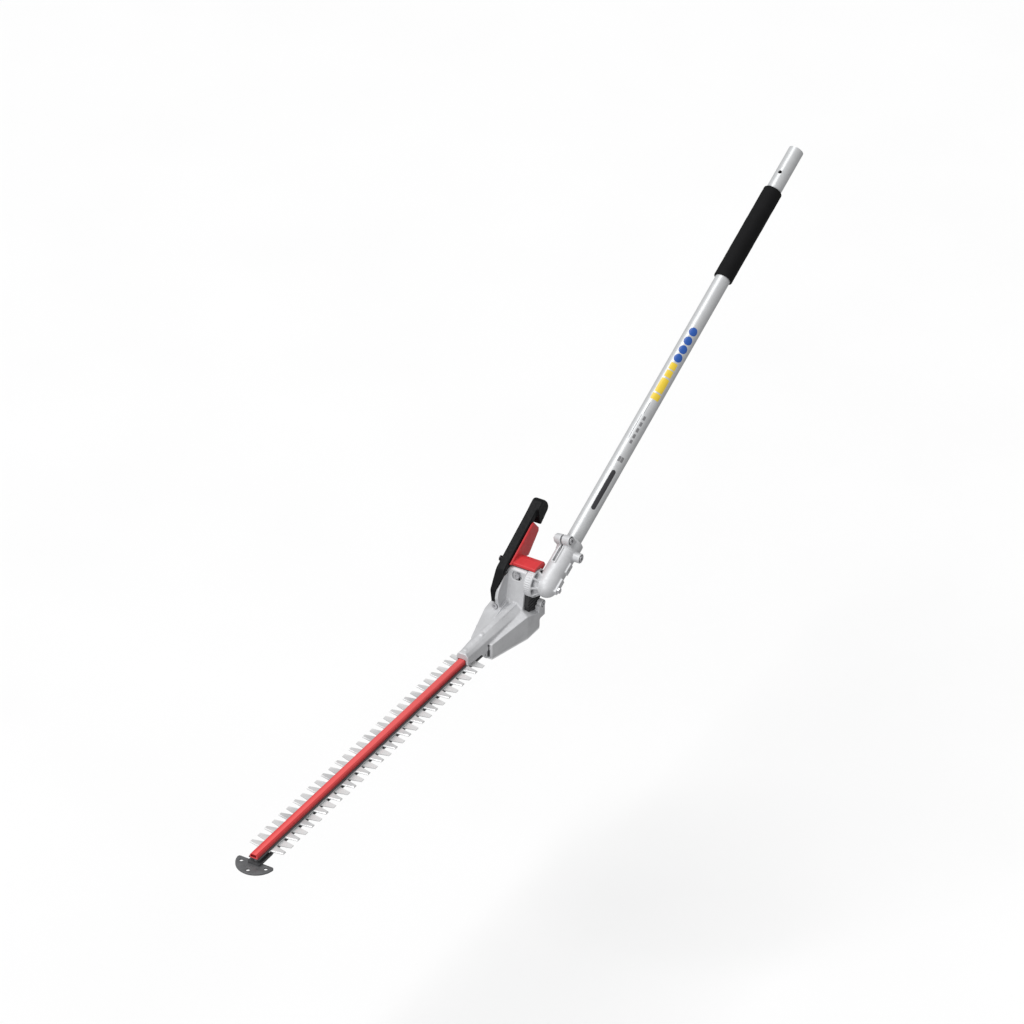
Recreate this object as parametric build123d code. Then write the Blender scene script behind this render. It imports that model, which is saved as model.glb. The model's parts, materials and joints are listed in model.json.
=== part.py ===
from build123d import *
import os
from math import cos, sin, radians, pi

# Articulating hedge-trimmer attachment for a split-pole power tool. Millimetres, +Z up.
# World frame: the origin is the centre of the tube's spigot end. The blade lies flat along +X,
# the tube runs down and forward from the origin at HEAD_ANGLE, and the head sits on its -Y side.

# ---- driving dimensions ----
HEAD_ANGLE = 27.0         # bend between the tube line and the blade, three 9 degree notches
POLE_REACH = 822.0        # spigot end to the pivot axis, along the tube
POLE_SIDE = 52.8          # tube axis to the blade's centre line
PIVOT_X, PIVOT_Z = -137.5, 68.9   # pivot axis in the head's own frame (first blade tooth at x = 0)
TUBE_OD, TUBE_WALL = 24.0, 1.5
TUBE_START = 37.0         # the tube stops this far from the pivot axis
CLAMP_X0, CLAMP_X1, CLAMP_TILT = 61.0, 81.0, 12.0   # clamp ears, and how far their slit leans to the head
CLAMP_MID = (CLAMP_X0 + CLAMP_X1) / 2
LOCATOR_X = 60.0
HUB_END = POLE_SIDE - 11.9
INSERTION_MARK = 77.0     # engraved ring this far from the tube's end
DETENT_FROM_END, DETENT_DIA = 50.0, 6.0
GRIP_OD, GRIP_LENGTH, GRIP_FROM_END = 30.0, 170.0, 79.0
SHAFT_DIA = 8.0
RUN_FIT = 0.05            # radial running clearance
BARREL_R, NECK_R = 16.5, 13.0
DISC_R, DISC_THICK, NOTCHES = 22.0, 12.9, 40
PITCH, TEETH, BLADE_THICK = 36.0, 15, 2.2
STROKE = 18.0
TIP_HALF, SPINE_HALF = 27.8, 8.5
CRANK_TEETH, PINION_TEETH, MODULE = 45, 13, 1.25
GRIP_HALF, KNOB_HALF, LEVER_HALF = 7.15, 10.2, 10.5   # half widths of the grip, its end knob and the lever
KNOB_ROUND = 21.5         # radius that rounds the rear end of the grip
HANDLE_Y = -12.0          # middle plane of the grip and the lever
HOOD_END = 35.8           # how far the lever's hood reaches over the index disc
LEVER_PIN = (-134.0, 94.5)
BLADE_BOLTS = (60.0, 170.0, 280.0, 390.0, 500.0)
NECK_BOLT_X = -14.0
RAIL_START, RAIL_END = 8.0, 558.0
BAR_START, BAR_END = -32.0, 560.0
CRANK_X = PIVOT_X + MODULE * (CRANK_TEETH + PINION_TEETH) / 2
ECC = STROKE / 2
ROD_LENGTH = 52.25

DISC_FACE = POLE_SIDE - 24.3 - DISC_THICK      # disc's outer face, seen from the tube axis
TOWER_RIGHT, TOWER_LEFT = 24.0, -16.5
CASE_BOTTOM, COVER_BOTTOM = -9.0, -12.0
CHAMBER_TOP = 13.0

angle = radians(HEAD_ANGLE)
ELBOW = Vector(POLE_REACH * cos(angle), 0, -POLE_REACH * sin(angle))
POLE = Plane(origin=ELBOW, x_dir=(-cos(angle), 0, sin(angle)), z_dir=(sin(angle), 0, cos(angle))).location
HEAD = Location((ELBOW.X - PIVOT_X, -POLE_SIDE, ELBOW.Z - PIVOT_Z))

os.makedirs("parts", exist_ok=True)


def save(name, shape, place):
    """Write one sub-part, moved from its own frame to the world frame."""
    export_step(place * shape, f"parts/{name}.step")


def rod_x(radius, x0, x1, y=0.0, z=0.0):
    """A solid cylinder along X from x0 to x1."""
    return Pos((x0 + x1) / 2, y, z) * Rot(0, 90, 0) * Cylinder(radius, x1 - x0)


def rod_y(radius, y0, y1, x=0.0, z=0.0):
    """A solid cylinder along Y from y0 to y1."""
    return Pos(x, (y0 + y1) / 2, z) * Rot(90, 0, 0) * Cylinder(radius, y1 - y0)


def rod_z(radius, z0, z1, x=0.0, y=0.0):
    """A solid cylinder along Z from z0 to z1."""
    return Pos(x, y, (z0 + z1) / 2) * Cylinder(radius, z1 - z0)


def block(x0, x1, y0, y1, z0, z1):
    """A box given by its two corners."""
    return Pos((x0 + x1) / 2, (y0 + y1) / 2, (z0 + z1) / 2) * Box(x1 - x0, y1 - y0, z1 - z0)


def side_plate(points, y0, y1):
    """A plate whose outline is given in X and Z, between y0 and y1."""
    outline = Plane.XZ.offset(-y0) * make_face(Polyline(*points, close=True))
    return extrude(outline, -(y1 - y0))


def flat_plate(points, z0, z1):
    """A plate whose outline is given in X and Y, between z0 and z1."""
    outline = Pos(0, 0, z0) * make_face(Polyline(*points, close=True))
    return extrude(outline, z1 - z0)


def section_x(points, x):
    """A closed outline in Y and Z at one X."""
    return make_face(Polyline(*[(x, y, z) for y, z in points], close=True))


def soften(shape, edges, radius):
    """Fillet the edges, or leave them sharp where the corner is too tight."""
    try:
        return fillet(edges, radius)
    except (ValueError, RuntimeError):
        return shape


def joined(shapes):
    """Fuse a list of solids into one."""
    first = shapes[0]
    return first.fuse(*shapes[1:])


def bearing(outer, bore, width):
    """A shielded ball bearing along Z: two rings with a recessed shield between them."""
    ring = Cylinder(outer, width) - Cylinder(bore, width)
    groove_out = bore + (outer - bore) * 0.75
    groove_in = bore + (outer - bore) * 0.3
    recess = Cylinder(groove_out, 0.8) - Cylinder(groove_in, 0.8)
    for side in (-1, 1):
        ring -= Pos(0, 0, side * width / 2) * recess
    return ring


def socket_screw(shank, head, head_height, length):
    """A socket-head screw along Z: the head above z = 0, the shank below it."""
    screw = rod_z(head, 0, head_height) + rod_z(shank, -length, 0)
    key = extrude(RegularPolygon(head * 0.5, 6), head_height * 0.6)
    return screw - Pos(0, 0, head_height * 0.45) * key


def hex_nut(across, bore, height):
    """A hexagon nut along Z standing on z = 0."""
    return extrude(RegularPolygon(across / 2, 6, major_radius=False), height) - Cylinder(bore, 4 * height)


# ---- tube group: x along the tube towards the spigot end, y towards the head, z up ----

def tube():
    inner = TUBE_OD / 2 - TUBE_WALL
    pipe = rod_x(TUBE_OD / 2, TUBE_START, POLE_REACH) - rod_x(inner, TUBE_START, POLE_REACH)
    pipe -= rod_z(DETENT_DIA / 2, 5, 20, POLE_REACH - DETENT_FROM_END)
    mark = POLE_REACH - INSERTION_MARK
    pipe -= rod_x(TUBE_OD, mark - 0.8, mark) - rod_x(TUBE_OD / 2 - 0.3, mark - 1, mark + 1)
    return pipe - rod_y(3.1, -20, -5, LOCATOR_X)


def foam_grip():
    end = POLE_REACH - GRIP_FROM_END
    sleeve = rod_x(GRIP_OD / 2, end - GRIP_LENGTH, end)
    sleeve = fillet(sleeve.edges().filter_by(GeomType.CIRCLE), 1.4)
    return sleeve - rod_x(TUBE_OD / 2, 0, POLE_REACH)


def shaft_bushings():
    group = []
    for x in (150, 330, 510, 690, 795):
        ring = rod_x(TUBE_OD / 2 - TUBE_WALL, x, x + 18) - rod_x(SHAFT_DIA / 2 + 2 * RUN_FIT, x, x + 18)
        for turn in range(3):
            ring -= Rot(120 * turn, 0, 0) * block(x - 1, x + 19, -2, 2, 7.5, 12)
        group.append(ring)
    return Compound(children=group)


def drive_shaft():
    shaft = rod_x(SHAFT_DIA / 2, 7, 800)
    square = block(800, 817, -2.8, 2.8, -2.8, 2.8)
    return shaft + square


def bevel_gear(small, large, back, teeth=16):
    """A straight bevel gear on Z with its apex at the origin, cone from small to large."""
    relief = 0.22
    cone = Pos(0, 0, (small + large) / 2) * Cone(small - relief, large - relief, large - small)
    gear = cone + rod_z(large - relief, large, large + 0.8)
    gear += rod_z(large * 0.62, large + 0.8, back)
    for tooth in range(teeth):
        slot = Pos(0, (small + large) / 2, (small + large) / 2) * Rot(-45, 0, 0) * Box(0.9, 20, 1.5)
        gear -= Rot(0, 0, 360 * tooth / teeth) * slot
    return gear


def input_bevel():
    gear = Rot(0, 90, 0) * bevel_gear(6.5, 10.8, 14)
    return gear - rod_x(SHAFT_DIA / 2, 0, 20)


def elbow_bearings():
    first = Pos(18, 0, 0) * Rot(0, 90, 0) * bearing(11, SHAFT_DIA / 2 + RUN_FIT, 7)
    second = Pos(30, 0, 0) * Rot(0, 90, 0) * bearing(11, SHAFT_DIA / 2 + RUN_FIT, 7)
    return Compound(children=[first, second])


def bearing_snap_ring():
    ring = rod_x(11.0, 33.7, 34.9) - rod_x(8.6, 33, 35)
    return ring - block(33, 36, -2, 2, 5, 12)


def elbow_ribs():
    """Gussets between the back of the index disc and the elbow's neck."""
    ribs = []
    for turn in (35, 80, 125, 170, 215, 260, 305):
        corners = ((NECK_R - 2, 2), (DISC_R - 1, DISC_FACE - 0.5), (DISC_R - 1, DISC_FACE + 5),
                   (NECK_R - 2, DISC_FACE + 5))
        plate = make_face(Polyline(*corners, close=True))
        plate = extrude(Pos(0, 0, -1.5) * plate, 3)
        ribs.append(Rot(0, turn, 0) * plate)
    return ribs


def clamp_ears():
    """The split ears that squeeze the end of the socket round the tube, slit upright."""
    ear = rod_y(7.6, -14.5, 12.5, (CLAMP_X0 + CLAMP_X1) / 2, 21)
    root = block(CLAMP_X0 + 3, CLAMP_X1 - 3, -14.5, 12.5, 8, 21)
    ring = rod_x(17.5, CLAMP_X0, CLAMP_X1)
    return ear + root + ring


def elbow_case():
    """The die-cast elbow: tube socket, gear corner, neck, index disc and pivot hub."""
    case = rod_x(BARREL_R, 0, CLAMP_X0 + 2) + Sphere(BARREL_R)
    case += rod_y(NECK_R, 0, DISC_FACE)
    disc = rod_y(DISC_R, DISC_FACE, DISC_FACE + DISC_THICK)
    disc = chamfer(disc.edges().filter_by(GeomType.CIRCLE), 1.0)
    for notch in range(NOTCHES):
        turn = 360 / NOTCHES * notch
        disc -= Rot(0, turn, 0) * rod_y(1.05, DISC_FACE + 2.6, DISC_FACE + DISC_THICK - 2.6, 0, DISC_R + 0.1)
    disc += rod_y(9.35, DISC_FACE + DISC_THICK - 1, HUB_END)
    disc -= rod_y(19.4, DISC_FACE - 1, DISC_FACE + 4.5) - rod_y(NECK_R, DISC_FACE - 2, DISC_FACE + 6)
    case = case + disc
    for rib in elbow_ribs():
        case += rib
    clamp = clamp_ears()
    clamp -= block(CLAMP_X0 - 30, CLAMP_X1 + 1, -1.3, 1.3, 5, 40)
    clamp -= rod_y(3.3, -20, 20, CLAMP_MID, 21)
    clamp -= rod_y(5.6, -20, -11, CLAMP_MID, 21)
    clamp -= Pos(CLAMP_MID, 9.5, 21) * Rot(-90, 0, 0) * extrude(RegularPolygon(5.1, 6, major_radius=False), 5)
    case += Rot(-CLAMP_TILT, 0, 0) * clamp
    case += rod_y(7.5, -26, -8, LOCATOR_X, 0)
    case += block(-6, 18, -19, -8, -5, 5) + block(29, 46, -18.4, -8, -5, 5)
    frame = block(33, 62, -4.4, 4.4, BARREL_R - 2, BARREL_R + 1.2)
    case += Rot(-CLAMP_TILT, 0, 0) * frame
    return case - elbow_hollows()


def elbow_hollows():
    """Everything bored out of the elbow casting."""
    slit = Rot(-CLAMP_TILT, 0, 0) * block(36, CLAMP_X1 + 1, -1.3, 1.3, 5, 40)
    slit += Rot(-CLAMP_TILT, 0, 0) * block(35.5, 60, -2.3, 2.3, TUBE_OD / 2 + 0.4, 40)
    bores = [
        Sphere(12.6),
        rod_x(11.0, 8, 35),
        rod_x(TUBE_OD / 2, TUBE_START, CLAMP_X1 + 5),
        rod_x(9.0, 34, TUBE_START + 1),
        rod_y(6.0, 8, HUB_END + 2),
        rod_y(11.2, 1, 12.6),
        rod_y(4.6, -13.4, 0),
        rod_y(3.1, -30, -5, LOCATOR_X, 0),
        rod_y(5.4, -30, -22.5, LOCATOR_X, 0),
        rod_y(1.6, -22, -14, 37, 0),
        rod_y(2.6, -22, -15.5, 0, 0),
        slit,
    ]
    groove = rod_y(9.6, HUB_END - 2.6, HUB_END - 1.3) - rod_y(8.4, HUB_END - 3, HUB_END - 1)
    return joined(bores) + groove


def clamp_bolt():
    screw = Pos(CLAMP_MID, -11, 21) * Rot(90, 0, 0) * socket_screw(3.0, 4.9, 5.5, 24)
    nut = Pos(CLAMP_MID, 9.5, 21) * Rot(-90, 0, 0) * hex_nut(10.0, 3.0, 4.8)
    turned = [Rot(-CLAMP_TILT, 0, 0) * piece for piece in (screw, nut)]
    return Compound(children=turned)


def locating_screw():
    screw = socket_screw(3.0, 4.9, 4.6, 12.0)
    return Pos(LOCATOR_X, -22.5, 0) * Rot(90, 0, 0) * screw


def grease_plug():
    head = Pos(0, -19, 0) * Rot(90, 0, 0) * (extrude(RegularPolygon(4.6, 6), 3.4) + rod_z(2.6, -3.5, 0))
    return fillet(head.edges().group_by(Axis.Y)[0], 0.5)


def cross_shaft():
    return rod_y(SHAFT_DIA / 2, -12.5, POLE_SIDE - 3.5)


def elbow_driven_bevel():
    gear = Rot(-90, 0, 0) * bevel_gear(6.5, 10.8, 11.9)
    return gear - rod_y(SHAFT_DIA / 2, 0, 60)


def cross_shaft_bushings():
    inner = rod_y(6.0, 13, 24) - rod_y(SHAFT_DIA / 2 + RUN_FIT, 13, 24)
    outer = rod_y(6.0, HUB_END - 10, HUB_END - 1) - rod_y(SHAFT_DIA / 2 + RUN_FIT, HUB_END - 10, HUB_END - 1)
    return Compound(children=[inner, outer])


def hub_retaining_ring():
    ring = rod_y(10.8, HUB_END - 2.6, HUB_END - 1.3) - rod_y(8.4, HUB_END - 3, HUB_END - 1)
    return ring - block(-1.5, 1.5, HUB_END - 4, HUB_END, -12, 0)


def head_drive_bevel():
    """Bevel gear on the inner end of the cross shaft, its apex on the blade's centre line."""
    gear = Pos(0, POLE_SIDE, 0) * Rot(90, 0, 0) * bevel_gear(4.9, 9.2, 11.2)
    return gear - rod_y(SHAFT_DIA / 2, 0, 60)


# ---- head group: x along the blade from the first tooth, y towards the tube, z up ----

LUG_X, LUG_Z = -150.0, 26.5
HOUSING = ((-36, 21), (-108, 38.5), (-141, 38.5), (-153, 31), (-153, -30), (-141, -36), (-108, -36), (-36, -15))
COVER_SCREWS = ((-66, 20), (-66, -20), (-127, 31.0), (-127, -31.0), (-144.3, 22), (-144.3, -22))
TOWER = ((-114, 20), (-127.1, 87), (-131, 89.2), (-147, 89.2), (-154, 80), (-154, 30), (-150, 20))
NECK_FRONT = ((-9, 3.3), (10, 3.3), (10, 16.5), (6, 21), (-5, 21), (-8.5, 16))
NECK_REAR = ((-22, 6), (28, 6), (24.5, 29.5), (15, 35.5), (4.5, 35.5), (-16, 22))
NECK_X0, NECK_X1 = 14.0, -119.5
SPINDLE_BEARINGS = (14.5, 47.0)


def below(shape, point, slope_x, slope_y):
    """Keeps the part of a shape under a sloping plane that passes through a point."""
    plane = Plane(origin=point, z_dir=(-slope_x, -slope_y, 1))
    return split(shape, bisect_by=plane, keep=Keep.BOTTOM)


RIGHT_ROOF = ((-36, 14, 14.3), -0.2, -0.04)
REAR_ROOF = ((-107, 38, 27.7), 0.347, -0.36)
LEFT_ROOF = ((-36, -15, 15.5), -0.187, 0.577)


def housing_shell():
    """Outer shape of the low gear housing: two sloping roofs on the right, one flank on the left."""
    full = flat_plate(HOUSING, CASE_BOTTOM, 60)
    right = below(full & block(-200, 50, 0, 60, -20, 80), *RIGHT_ROOF)
    right = below(right, *REAR_ROOF)
    left = below(full & block(-200, 50, -60, 0, -20, 80), *LEFT_ROOF)
    foot = side_plate(((-37, CASE_BOTTOM), (-31, CASE_BOTTOM), (-19, 5), (-37, 5)), 10.5, 15.2)
    return right + left + foot


def neck_shell():
    """The tapering neck from the tower's foot down to the collar round the rail."""
    body = loft([section_x(NECK_FRONT, NECK_X0), section_x(NECK_REAR, NECK_X1)], ruled=True)
    strips = []
    for front, rear in (((-3.6, -0.6), (5.6, 9.4)), ((0.8, 3.8), (10.6, 14.4))):
        near = section_x(((front[0], 18), (front[1], 18), (front[1], 22.4), (front[0], 22.4)), NECK_X0 - 4)
        far = section_x(((rear[0], 32), (rear[1], 32), (rear[1], 37.6), (rear[0], 37.6)), NECK_X1)
        strips.append(loft([near, far], ruled=True))
    bosses = [rod_z(2.6, 14, 23.6, 3.5, 0.6), rod_z(2.9, 18, 28.9, -35, 3.9)]
    collar = extrude(section_x(((-9.6, 3.3), (10.6, 3.3), (10.6, 17), (6.4, 21.8), (-5.4, 21.8), (-9.2, 16.6)), 9),
                     amount=4.5, dir=(1, 0, 0))
    near = section_x(((-0.6, 19.4), (0.8, 19.4), (0.8, 30), (-0.6, 30)), NECK_X0 - 4)
    far = section_x(((9.4, 33.6), (10.8, 33.6), (10.8, 45), (9.4, 45)), NECK_X1)
    ridge = joined([body] + strips) - loft([near, far], ruled=True)
    return joined([ridge, collar] + bosses)


def handle_web():
    """The cast web that carries the grip: a core inside the grip and an arched rib beside its front leg."""
    core = side_plate(((-108, 20), (-103, 26), (-99, 48), (-101.5, 62), (-117, 84), (-119, 91), (-137, 101),
                       (-141, 92), (-130, 20)), -15.5, -9.5)
    front = side_plate(((-108, 20), (-98.5, 30), (-94.1, 50.9), (-98, 64), (-117, 84.5), (-130, 86), (-130, 20)),
                       -16, -5)
    rib = front & extrude(section_x(((-5, 20), (-5, 84), (-10.3, 61.8), (-10.3, 20)), -140), amount=60, dir=(1, 0, 0))
    foot = block(-112, -99.5, -18, -6, 22, 42)
    pocket = side_plate(((-119, 31), (-108.5, 33), (-105.5, 48), (-110, 60), (-127.5, 76)), -12.5, -6)
    return core + rib + foot, pocket


def stop_lug():
    """The lug at the right rear of the housing that ends the head's swing."""
    lug = rod_y(6.6, 31, 39.5, LUG_X, LUG_Z) + block(-156.5, -140, 31, 38.4, 4, LUG_Z)
    return lug


def head_case():
    """The die-cast head: gear housing, neck, tower and handle web in one casting."""
    tower = side_plate(TOWER, TOWER_LEFT, TOWER_RIGHT)
    tower = soften(tower, tower.edges().filter_by(Axis.Y).group_by(Axis.Z)[-1], 3.0)
    tower = soften(tower, tower.faces().sort_by(Axis.X)[-1].edges().filter_by(Axis.Z, reverse=True), 1.0)
    web, pocket = handle_web()
    case = joined([housing_shell(), neck_shell(), tower, web, stop_lug()])
    case -= pocket
    for x, y in COVER_SCREWS:
        case += rod_z(4.2, CASE_BOTTOM, 16, x, y)
    return case - head_hollows()


def head_hollows():
    """Everything hollow in the head casting."""
    inner = ((-33, 15.5), (-108, 35.2), (-122, 35), (-122, 26.5), (-132, 26.5), (-137, 24), (-139, 17),
             (-146.8, 17), (-146.8, -17), (-139, -17), (-137, -24), (-132, -26.5), (-122, -26.5), (-122, -33.4),
             (-108, -33.4), (-33, -11.5))
    chamber = flat_plate(inner, CASE_BOTTOM - 1, CHAMBER_TOP)
    for side, reach in ((1, 20), (-1, 20)):
        chamber -= rod_z(4.2, -15, 20, -66, side * reach)
    slot = block(-40, -9, -10.3, 10.3, CASE_BOTTOM - 1, 3.3) + block(-9.5, 40, -30, 30, CASE_BOTTOM - 1, 3.3)
    pocket = block(RAIL_START - 0.01, 20, -6.15, 6.15, 0, 11.25)
    bores = [
        slot,
        pocket,
        rod_y(10.0, -4, 13.2, PIVOT_X, PIVOT_Z),
        rod_y(11.2, 11, 14.8, PIVOT_X, PIVOT_Z),
        rod_y(9.4, 12, 30, PIVOT_X, PIVOT_Z),
        rod_z(10.0, 54, PIVOT_Z, PIVOT_X),
        rod_z(8.0, 46, 55, PIVOT_X),
        rod_z(6.2, 10, 50, PIVOT_X),
        rod_z(8.0, 10, 21, PIVOT_X),
        rod_z(5.0, 10, 16, CRANK_X),
        rod_z(2.6, 0, 17, NECK_BOLT_X),
    ]
    for x, y in COVER_SCREWS:
        bores.append(rod_z(2.1, CASE_BOTTOM - 1, 8, x, y))
    hollow = chamber.fuse(*bores)
    front_recess = FRONT_SCREW * (rod_z(8.2, -RECESS, 6) & block(-6, 6.2, -9, 9, -RECESS - 1, 8))
    hollow += front_recess + FRONT_SCREW * rod_z(2.5, -RECESS - 2.4, 0)
    hollow += rod_y(2.6, -30, 0, LEVER_PIN[0], LEVER_PIN[1]) + rod_x(3.0, -113, -95, HANDLE_Y, 36)
    hollow += rod_x(5.0, -99.5, -85, HANDLE_Y, 36)
    hollow += rod_y(2.6, 32.5, 45, LUG_X, LUG_Z) + rod_y(5.4, 36.6, 45, LUG_X, LUG_Z)
    hollow += rod_y(1.6, 5, 20, -28, -1)
    return hollow


RECESS = 3.6              # depth of the screw recess in the tower's front
FRONT_SCREW = Location((-125.6, 8.5, 78.8), (0, 79, 0))


def bottom_cover():
    plate = flat_plate([(x, y * 0.985) for x, y in HOUSING], COVER_BOTTOM, CASE_BOTTOM)
    plate = plate + rod_z(8, CASE_BOTTOM, -6.2, CRANK_X)
    for x, y in COVER_SCREWS:
        plate -= rod_z(2.6, -20, 0, x, y)
    return plate - rod_z(5.0, -11, 0, CRANK_X)


def cover_screws():
    group = []
    for x, y in COVER_SCREWS:
        screw = rod_z(4.3, COVER_BOTTOM - 3.2, COVER_BOTTOM) + rod_z(2.1, COVER_BOTTOM, 5)
        screw = screw - Pos(0, 0, COVER_BOTTOM - 3.2) * extrude(RegularPolygon(2.3, 6), 1.8)
        group.append(Pos(x, y, 0) * screw)
    return Compound(children=group)


def spindle():
    shaft = rod_z(SHAFT_DIA / 2, 6.2, 64)
    return Pos(PIVOT_X, 0, 0) * shaft


def spindle_bevel():
    gear = Rot(180, 0, 0) * bevel_gear(4.9, 9.2, 12.5)
    return Pos(PIVOT_X, 0, PIVOT_Z) * (gear - rod_z(SHAFT_DIA / 2, -30, 0))


def gear_outline(teeth, module, thin):
    """Outline points of a spur gear, as (x, y), with slightly thinned straight-flanked teeth."""
    radius = teeth * module / 2
    tip, root = radius + 0.92 * module, radius - 1.2 * module
    step = 2 * pi / teeth
    points = []
    for tooth in range(teeth):
        middle = tooth * step
        for r, share in ((root, -0.36), (tip, -0.115), (tip, 0.115), (root, 0.36)):
            turn = middle + share * step * thin
            points.append((r * cos(turn), r * sin(turn)))
    return points


def spindle_pinion():
    gear = flat_plate(gear_outline(PINION_TEETH, MODULE, 0.86), 6.2, 12.2)
    gear = Rot(0, 0, 180 / PINION_TEETH) * gear
    gear = gear + rod_z(6.0, 12.2, 14.2)
    return Pos(PIVOT_X, 0, 0) * (gear - rod_z(SHAFT_DIA / 2, 0, 20))


def spindle_bearings():
    group = []
    for z in SPINDLE_BEARINGS:
        group.append(Pos(PIVOT_X, 0, z + 2.5) * bearing(8.0, SHAFT_DIA / 2 + RUN_FIT, 5))
    return Compound(children=group)


def crank_axle():
    return rod_z(5.0, -10.9, 15.9, CRANK_X)


def crank_gear():
    """The big gear with the upper eccentric on its underside."""
    gear = flat_plate(gear_outline(CRANK_TEETH, MODULE, 0.86), 6.2, 12.2)
    gear = Rot(0, 0, 180) * gear
    gear += rod_z(16.4, 2.6, 6.2, ECC) + rod_z(9.0, -2.6, 2.6)
    gear -= rod_z(5.0 + RUN_FIT, -10, 20)
    for turn in range(4):
        gear -= Rot(0, 0, 90 * turn + 45) * rod_z(4.0, 8.4, 13, 17.5)
    return Pos(CRANK_X, 0, 0) * gear


def lower_eccentric():
    disc = rod_z(16.4, -5.9, -2.6, -ECC) - rod_z(5.0 + RUN_FIT, -10, 10)
    return Pos(CRANK_X, 0, 0) * disc


def connecting_rod(big_x, z0, z1):
    """A connecting rod: the big ring runs on its eccentric, the eye sits over the blade's pin."""
    small_x = big_x + ROD_LENGTH
    rod = rod_z(20.3, z0, z1, big_x)
    rod += block(big_x, small_x, -4.0, 4.0, z0, z1)
    rod += rod_z(5.4, z0, z1, small_x)
    rod -= rod_z(16.4 + RUN_FIT, z0 - 1, z1 + 1, big_x)
    return rod - rod_z(3.1, z0 - 1, z1 + 1, small_x)


def tooth(side, ground_up):
    """One cutting tooth pointing to +Y or -Y, with a ground bevel on its outer face."""
    root, tip, bevel = 7.6, 3.3, 1.0
    flat = BLADE_THICK - 1.1
    inner = SPINE_HALF - 2

    def outline(shrink, z):
        r, t = root - shrink, tip - shrink
        return make_face(Polyline((-r, inner, z), (r, inner, z), (t + 0.8, TIP_HALF - shrink, z),
                                  (-t + 0.8, TIP_HALF - shrink, z), close=True))

    solid = extrude(outline(0, 0), flat)
    solid += loft([outline(0, flat), outline(bevel, BLADE_THICK)], ruled=True)
    if not ground_up:
        solid = Pos(0, 0, BLADE_THICK) * Rot(0, 180, 0) * solid
    if side < 0:
        solid = mirror(solid, Plane.XZ)
    return solid


def blade(z0, first, ground_up, tail_x, slot_before, slot_after):
    """A double-sided blade: spine, teeth, slots for the spacers and a pin for its rod."""
    last = first + (TEETH - 1) * PITCH
    spine = block(tail_x, last + 10, -SPINE_HALF, SPINE_HALF, 0, BLADE_THICK)
    pieces = []
    for index in range(TEETH):
        for side in (-1, 1):
            pieces.append(Pos(first + index * PITCH, 0, 0) * tooth(side, ground_up))
    shape = spine.fuse(*pieces)
    slots = []
    for x in BLADE_BOLTS + (NECK_BOLT_X,):
        slots.append(block(x - slot_before, x + slot_after, -4.3, 4.3, -1, 5))
        for end in (x - slot_before, x + slot_after):
            slots.append(rod_z(4.3, -1, 5, end))
    return Pos(0, 0, z0) * (shape - slots[0].fuse(*slots[1:]))


def upper_blade():
    shape = blade(0.15, PITCH / 2, True, -48, 0.3, STROKE + 0.3)
    return shape + rod_z(2.7, 0.2, 2.6, CRANK_X + ECC + ROD_LENGTH)


def lower_blade():
    shape = blade(-0.15 - BLADE_THICK, 0, False, -66, STROKE + 0.3, 0.3)
    return shape + rod_z(2.7, -2.6, -0.2, CRANK_X - ECC + ROD_LENGTH)


def guide_bar():
    bar = block(BAR_START, BAR_END, -10, 10, -5.65, -2.65)
    bar = soften(bar, bar.edges().filter_by(Axis.Z), 3.0)
    for x in BLADE_BOLTS + (NECK_BOLT_X, END_BOLT_X):
        bar -= rod_z(2.6, -10, 0, x)
    return bar - rod_z(2.1, -10, 0, GUARD_SCREW_X)


END_BOLT_X = 551.0
GUARD_SCREW_X = 534.0


def guide_strip():
    strip = block(RAIL_START + 8, RAIL_END - 1, -8.8, 8.8, 2.65, 4.15)
    for x in BLADE_BOLTS + (END_BOLT_X,):
        strip -= rod_z(2.6, 0, 10, x)
    return strip


def blade_rail():
    """The long box rail over the blades, open at its far end."""
    z0, z1, half, lean = 4.15, 11.2, 6.15, 2.2
    outer = ((-half, z0), (half, z0), (half, z1 - lean), (half - lean, z1), (-half + lean, z1), (-half, z1 - lean))
    wall = 1.5
    inner = ((-half + wall, z0 + wall), (half - wall, z0 + wall), (half - wall, z1 - lean - 0.3),
             (half - lean - 0.4, z1 - wall), (-half + lean + 0.4, z1 - wall), (-half + wall, z1 - lean - 0.3))
    rail = extrude(section_x(outer, RAIL_START), amount=RAIL_END - RAIL_START, dir=(1, 0, 0))
    rail -= extrude(section_x(inner, RAIL_START - 1), amount=RAIL_END - RAIL_START + 2, dir=(1, 0, 0))
    for x in BLADE_BOLTS + (END_BOLT_X,):
        rail -= rod_z(2.6, 0, 7, x)
    return rail


def blade_bolts():
    group = []
    for x in BLADE_BOLTS + (END_BOLT_X,):
        top = 9.2
        head = extrude(RegularPolygon(4.0, 6, major_radius=False), 3.4)
        drop = -8.15 if x == END_BOLT_X else -5.65
        group.append(Pos(x, 0, 0) * (Pos(0, 0, drop - 3.4) * head + rod_z(2.5, drop, top)))
    group.append(Pos(NECK_BOLT_X, 0, 0) * (Pos(0, 0, -9.05) * extrude(RegularPolygon(4.0, 6, major_radius=False), 3.4)
                                           + rod_z(2.5, -5.65, 15)))
    return Compound(children=group)


def rail_nuts():
    group = []
    for x in BLADE_BOLTS + (END_BOLT_X,):
        group.append(Pos(x, 0, 5.65) * hex_nut(8.0, 2.5, 3.4))
    return Compound(children=group)


def blade_spacers():
    group = []
    for x in BLADE_BOLTS + (END_BOLT_X,):
        group.append(rod_z(4.0, -2.65, 2.65, x) - rod_z(2.6, -5, 5, x))
    group.append(rod_z(4.0, -2.65, 3.3, NECK_BOLT_X) - rod_z(2.6, -5, 5, NECK_BOLT_X))
    return Compound(children=group)


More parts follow.
